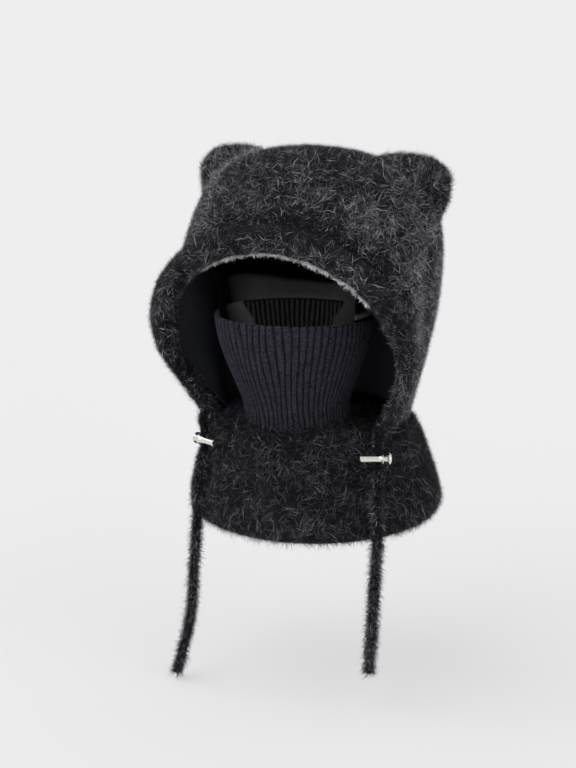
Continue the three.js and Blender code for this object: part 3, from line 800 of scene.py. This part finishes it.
def rib_phase(angle, height):
    """Ribs counted round the tube, closer together behind, each wandering a little with height."""
    spread = angle + 0.2 * np.sin(angle)
    wander = 0.16 * np.sin(height / 17 + 5 * np.sin(2 * angle)) + 0.05 * np.sin(height / 7 + 31 * angle)
    return RIBS * spread / (2 * math.pi) + wander


def build_tube():
    """Tube: broad round-backed ribs with narrow grooves on both faces, and a softly rounded rim."""
    u, v = grid(RIBS * POINTS_A_RIB + 1, 40)
    angle = 2 * math.pi * u
    height = between(TUBE, v)["z"]
    phase = rib_phase(angle, height)
    across = np.abs(2 * (phase - np.floor(phase)) - 1)
    rib = 1 - np.clip((across - 0.15) / 0.85, 0, 1) ** 2
    rim = np.exp(-(v / 0.02) ** 2) + np.exp(-((1 - v) / 0.02) ** 2)
    outer = oval(TUBE, angle, v, 0.3 - 1.6 * (1 - rib) - 0.8 * rim)
    inner = oval(TUBE, angle, v, -RIB_WALL + 1.2 * (1 - rib) + 0.6 * rim)
    values = {"rib": np.tile(rib.ravel(), 2), "inner": np.repeat([0.0, 1.0], rib.size)}
    piece = wall("tube_knit", outer, inner, values, round_u=True)
    dress(piece, KNIT, "rib_knit", "face_tube")


# Smooth inner cloth
LINING_FROM = 0.03                     # share of the hood's depth at its front that the brim covers


def lining(u, v):
    """The hood's own shape from a little behind its front edge, sunk to the lining, with slow soft folds."""
    across = LINING_FROM + (1 - LINING_FROM) * v
    folds = 0.9 * np.sin(21 * u + 5 * v) * np.sin(9 * v + 2) + 0.5 * np.sin(47 * u - 13 * v)
    fade = np.clip(4 * v, 0, 1) * np.clip(8 * (1 - v), 0, 1)
    depth = FUR_WALL + LINING_GAP + 0.4 + (folds + 1.2) * fade
    return hood(u, across) - depth[..., None] * normal_of(hood, u, across)


def build_lining():
    """Hood lining, a thin wall with painted light on the wearer's left, where it is paler. Returns the
    points of its inner face.
    """
    u, v = grid(141, 81)
    outer = lining(u, v)
    inner = outer - LINING_WALL * normal_of(lining, u, v)
    # painted light: paler towards the wearer's left
    far = np.clip((u - 0.5) / 0.4, 0, 1) ** 2
    piece = wall("hood_lining_cloth", outer, inner, {"far": np.tile(far.ravel(), 2)})
    dress(piece, JERSEY, "smooth_lining", "hood_lining")
    return inner


NAPE_LINES, NAPE_STEPS, NAPE_ROWS = 141, 61, 41
RIM_STEPS, PAST_LINING = 6, 0.4        # steps at the rim that meet nothing, and how far the panel runs on
NAPE_BAND = {                          # how far out the band of painted light reaches, by degrees from straight behind; past it painted shade
    "turned": [-106, -60, 0, 40, 70, 90],
    "share": [0.22, 0.27, 0.26, 0.18, 0.09, 0.01],
}


def stopped(line, tree):
    """A line of points that ends a little past the first place where it meets the tree's surface."""
    for k in range(RIM_STEPS, len(line) - 1):
        step = line[k + 1] - line[k]
        hit = tree.ray_cast(Vector(line[k]), Vector(step), np.linalg.norm(step))[0]
        if hit is not None:
            line[k + 1:] = np.array(hit) + PAST_LINING * unit(step)
            break
    return line


def spaced(line, share):
    """Points of a line at even shares of its length."""
    run = run_along(line)
    at = run + 1e-9 * np.arange(len(line))
    return np.stack([np.interp(share * run[-1], at, line[:, axis]) for axis in range(3)], axis=1)


def build_nape_flare(inside):
    """Nape panel: a flare from the tube's rim out to the lining, with painted light in a band at the rim,
    and painted shade past it and in a fold.
    """
    tree = tree_of(inside)
    angles = np.linspace(-NAPE_REACH, NAPE_REACH, NAPE_LINES)
    row = between(NAPE, np.linspace(0, 1, NAPE_STEPS))
    fade = np.cos(angles / NAPE_REACH * math.pi / 2)[:, None] ** 2
    grow = row["rim"] + np.where(row["out"] < 0, row["out"], row["out"] * fade)
    sheet = oval(TUBE, angles[:, None], np.zeros_like(grow), grow - RIB_WALL - 0.2)
    ripple = 0.5 * np.sin(15 * angles)[:, None] * np.sin(np.linspace(0, math.pi, NAPE_STEPS))
    sheet[..., 2] += row["z"] + ripple
    even = np.linspace(0, 1, NAPE_ROWS)
    flare = np.stack([spaced(stopped(line, tree), even) for line in sheet])
    rim = np.zeros_like(angles)
    heading = oval(TUBE, angles, rim, 10.0) - oval(TUBE, angles, rim, 0.0)
    out = unit(np.cross(np.gradient(flare, axis=0), np.gradient(flare, axis=1)))
    out = out * np.sign((out * heading[:, None]).sum(-1, keepdims=True) + 1e-9)
    turned = np.degrees(angles)[:, None]
    # painted shade: black past the lit band, and in the fold on the right side, a little over the left
    past_band_shade = np.clip((even - np.interp(turned, NAPE_BAND["turned"], NAPE_BAND["share"])) / 0.10, 0, 1)
    fold_shade = np.maximum(np.clip((-54 - turned) / 34, 0, 1), 0.4 * np.clip((turned - 4) / 18, 0, 1))
    far = np.maximum(past_band_shade, fold_shade)
    piece = wall("nape_flare", flare + 0.5 * out, flare - 0.7 * out, {"far": np.tile(far.ravel(), 2)})
    dress(piece, NAPE_PAINTED_LOOK, "smooth_lining", "nape_lining")


def build_nape_wing(side, name):
    """Nape panel inside the tube on one side of its arch, whose edge faces the turned view, with painted
    shade towards its far end.
    """
    arch = NAPE_ARCH
    u, v = grid(41, 49)
    z = arch["top"] + (arch["foot"] - arch["top"]) * v
    at = np.clip(z / TUBE["z"][-1], 0, 1)
    row = between(TUBE, at)
    fallen = np.clip((arch["top"] - z) / (arch["top"] - arch["shelf"]), 0, 1)
    half = arch["upper"] + (arch["lower"] - arch["upper"]) * fallen
    near = np.clip((z - arch["top"] + arch["corner"]) / arch["corner"], 0, 1)
    half = half - arch["corner"] * (1 - np.sqrt(np.maximum(1 - near**2, 0)))
    across = (row["side"] - RIB_WALL - 1.2) * math.cos(NAPE_TURN)
    along = (row["reach"] - RIB_WALL - 1.2) * math.sin(NAPE_TURN)
    edge = np.arcsin(np.clip(side * half / np.hypot(across, along), -1, 1)) - np.arctan2(along, across)
    angle = edge + (side * NAPE_REACH - edge) * u
    faces = [oval(TUBE, angle, at, -RIB_WALL - depth) for depth in (1.0, 2.2)]
    for face in faces:
        face[..., 2] = face[..., 2] + z - row["z"]
    # painted shade: black towards the far end, sooner on the left side
    far = np.clip(1.6 * u + 0.05 + 0.25 * side, 0, 1)
    dress(wall(f"nape_wing_{name}", *faces, {"far": np.tile(far.ravel(), 2)}), NAPE_PAINTED_LOOK, "smooth_lining")


# Drawcords
def route(points, spacing=1.0):
    """Catmull-Rom curve through points, then points spaced evenly along its length."""
    table = {k: [p[i] for p in points] for i, k in enumerate("xyz")}
    row = between(table, np.linspace(0, 1, 40 * len(points)))
    line = np.stack([row[k] for k in "xyz"], axis=1)
    run = run_along(line)
    at = np.linspace(0, run[-1], max(int(run[-1] / spacing), 2))
    return np.stack([np.interp(at, run, line[:, k]) for k in range(3)], axis=1)


def carried(line):
    """Two directions square to a line at each of its points, turned on without twist."""
    along = unit(np.gradient(line, axis=0))
    side = np.array([1.0, 0, 0])
    sides = []
    for way in along:
        side = side - way * (side @ way)
        side = side / np.linalg.norm(side)
        sides.append(side)
    sides = np.array(sides)
    return sides, np.cross(along, sides)


CORD_FUR = {
    "under": {"count": 6000, "long": 4.8, "width": 0.32, "lifts": (0.8, 0.3), "pale": 0.14},
    "over": {"count": 3600, "long": 7.0, "width": 0.24, "lifts": (1.2, 0.6), "pale": 0.34},
}
CORD_SEEDS = {"left": 31, "right": 32}
NO_FUR, FULL_FUR = 2.5, 12.0           # above and below the neck: bare so far, and full length from there


def cord_line(name):
    """The cord's middle line, whether each point lies in its neck, and its height above or below that."""
    above, below = CORDS[name]
    seat = np.array(STOPPERS[name], float)
    top, bottom = seat + [0, 0, CORD_NECK_REACH], seat - [0, 0, CORD_NECK_REACH]
    upper, lower = route([*above, tuple(top)]), route([tuple(bottom), *below])
    neck = np.linspace(top, bottom, 14)[1:-1]
    line = np.concatenate([upper, neck, lower])
    order = np.arange(len(line))
    inside = (order >= len(upper)) & (order < len(upper) + len(neck))
    return line, inside, np.abs(line[:, 2] - seat[2]) - CORD_NECK_REACH


def cord_core(name, line, inside, sides, others):
    """Round core, a little lumpy, necked inside the stopper and closed at both ends."""
    run = run_along(line)
    lumps = 1 + 0.04 * np.sin(run * 1.3) + 0.03 * np.sin(run * 3.1)
    radius = np.where(inside, CORD_NECK - 0.15, (CORD_RADIUS - 0.4) * lumps)
    radius[[0, -1]] *= 0.6
    angle = np.linspace(0, 2 * math.pi, 25)[:, None, None]
    ring = line + radius[:, None] * (sides * np.cos(angle) + others * np.sin(angle))
    ends = [np.broadcast_to(line[k], ring[:, :1].shape) for k in (0, -1)]
    points = np.concatenate([ends[0], ring, ends[1]], axis=1)
    return dress(closed(f"cord_core_{name}", points[::-1]), SKIN_LOOK, "fur", f"drawcord_{name}")


def build_cord(name):
    """Drawcord: its core, and fibres all along it that are short beside the stopper."""
    line, inside, clear = cord_line(name)
    sides, others = carried(line)
    core = cord_core(name, line, inside, sides, others)
    rng = np.random.default_rng(CORD_SEEDS[name])
    free = np.flatnonzero(~inside & (clear > NO_FUR))
    for kind, coat in CORD_FUR.items():
        at = rng.choice(free[:-1], coat["count"])
        part = rng.random(coat["count"])[:, None]
        turn = rng.random(coat["count"])[:, None] * 2 * math.pi
        normals = sides[at] * np.cos(turn) + others[at] * np.sin(turn)
        roots = line[at] + (line[np.minimum(at + 1, len(line) - 1)] - line[at]) * part
        roots = roots + normals * (CORD_RADIUS - 0.7)
        pull = np.gradient(line, axis=0)[at] * 0.5
        long = coat["long"] * np.clip(clear[at] / FULL_FUR, 0.3, 1)
        tone = tones(roots, normals, rng, coat["pale"], 0.6)
        piece = strands(
            f"cord_fur_{name}_{kind}", roots, normals, rng, long, coat["width"], coat["lifts"], tone, pull,
            loose=FUR_LOOSE,
        )
        dress(piece, SHADED_FUR, "fur")


# Object
build_hood()
build_bib()
build_brim()
build_fuzz_highlight()
build_ears()
build_tube()
build_nape_flare(build_lining())
for side_name, side_sign in SIDES.items():
    build_nape_wing(side_sign, side_name)
for side_name in SIDES:
    build_cord(side_name)
    for part_name in ("barrel", "plunger"):
        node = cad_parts[f"stopper_{part_name}_{side_name}"]
        node.data.materials.clear()
        node.data.materials.append(NICKEL)

# Floor and light
FLOOR, FLOOR_REACH = -0.492, 60.0
FLOOR_GREY = 0.40
SKY, SKY_STRENGTH = (0.98, 0.98, 1.0, 1), 0.66

floor_corners = [(x * FLOOR_REACH, y * FLOOR_REACH, FLOOR) for x, y in ((-1, -1), (1, -1), (1, 1), (-1, 1))]
floor_data = bpy.data.meshes.new("floor")
floor_data.from_pydata(floor_corners, [], [(0, 1, 2, 3)])
floor = bpy.data.objects.new("floor", floor_data)
bpy.context.scene.collection.objects.link(floor)
ground = Look(
    "floor", roughness=1.0, specular_ior_level=0.0, emission_strength=1.0,
    emission_color=(FLOOR_GREY, FLOOR_GREY, FLOOR_GREY, 1),
)
ground.feed("Base Color", ground.blend(ground.noise(3, 2), (FLOOR_GREY,) * 3, (FLOOR_GREY + 0.01,) * 3))
floor_data.materials.append(ground.material)

world = bpy.data.worlds.new("world")
bpy.context.scene.world = world
world.use_nodes = True
backdrop = world.node_tree.nodes["Background"]
backdrop.inputs["Color"].default_value = SKY
backdrop.inputs["Strength"].default_value = SKY_STRENGTH
bpy.context.scene.view_settings.view_transform = "Standard"


def soft_sun(name, towards, angle, strength):
    """A far soft lamp that shines along towards, as wide across as angle in degrees."""
    data = bpy.data.lights.new(name, "SUN")
    data.angle, data.energy = math.radians(angle), strength
    lamp = bpy.data.objects.new(name, data)
    bpy.context.scene.collection.objects.link(lamp)
    lamp.rotation_mode = "QUATERNION"
    lamp.rotation_quaternion = Vector(towards).to_track_quat("-Z", "Y")


soft_sun("key", (0.6, 0.45, -0.8), 75, 1.3)
soft_sun("front", (0.4, 0.85, -0.3), 70, 0.55)
soft_sun("side", (-0.85, 0.3, -0.4), 60, 0.85)
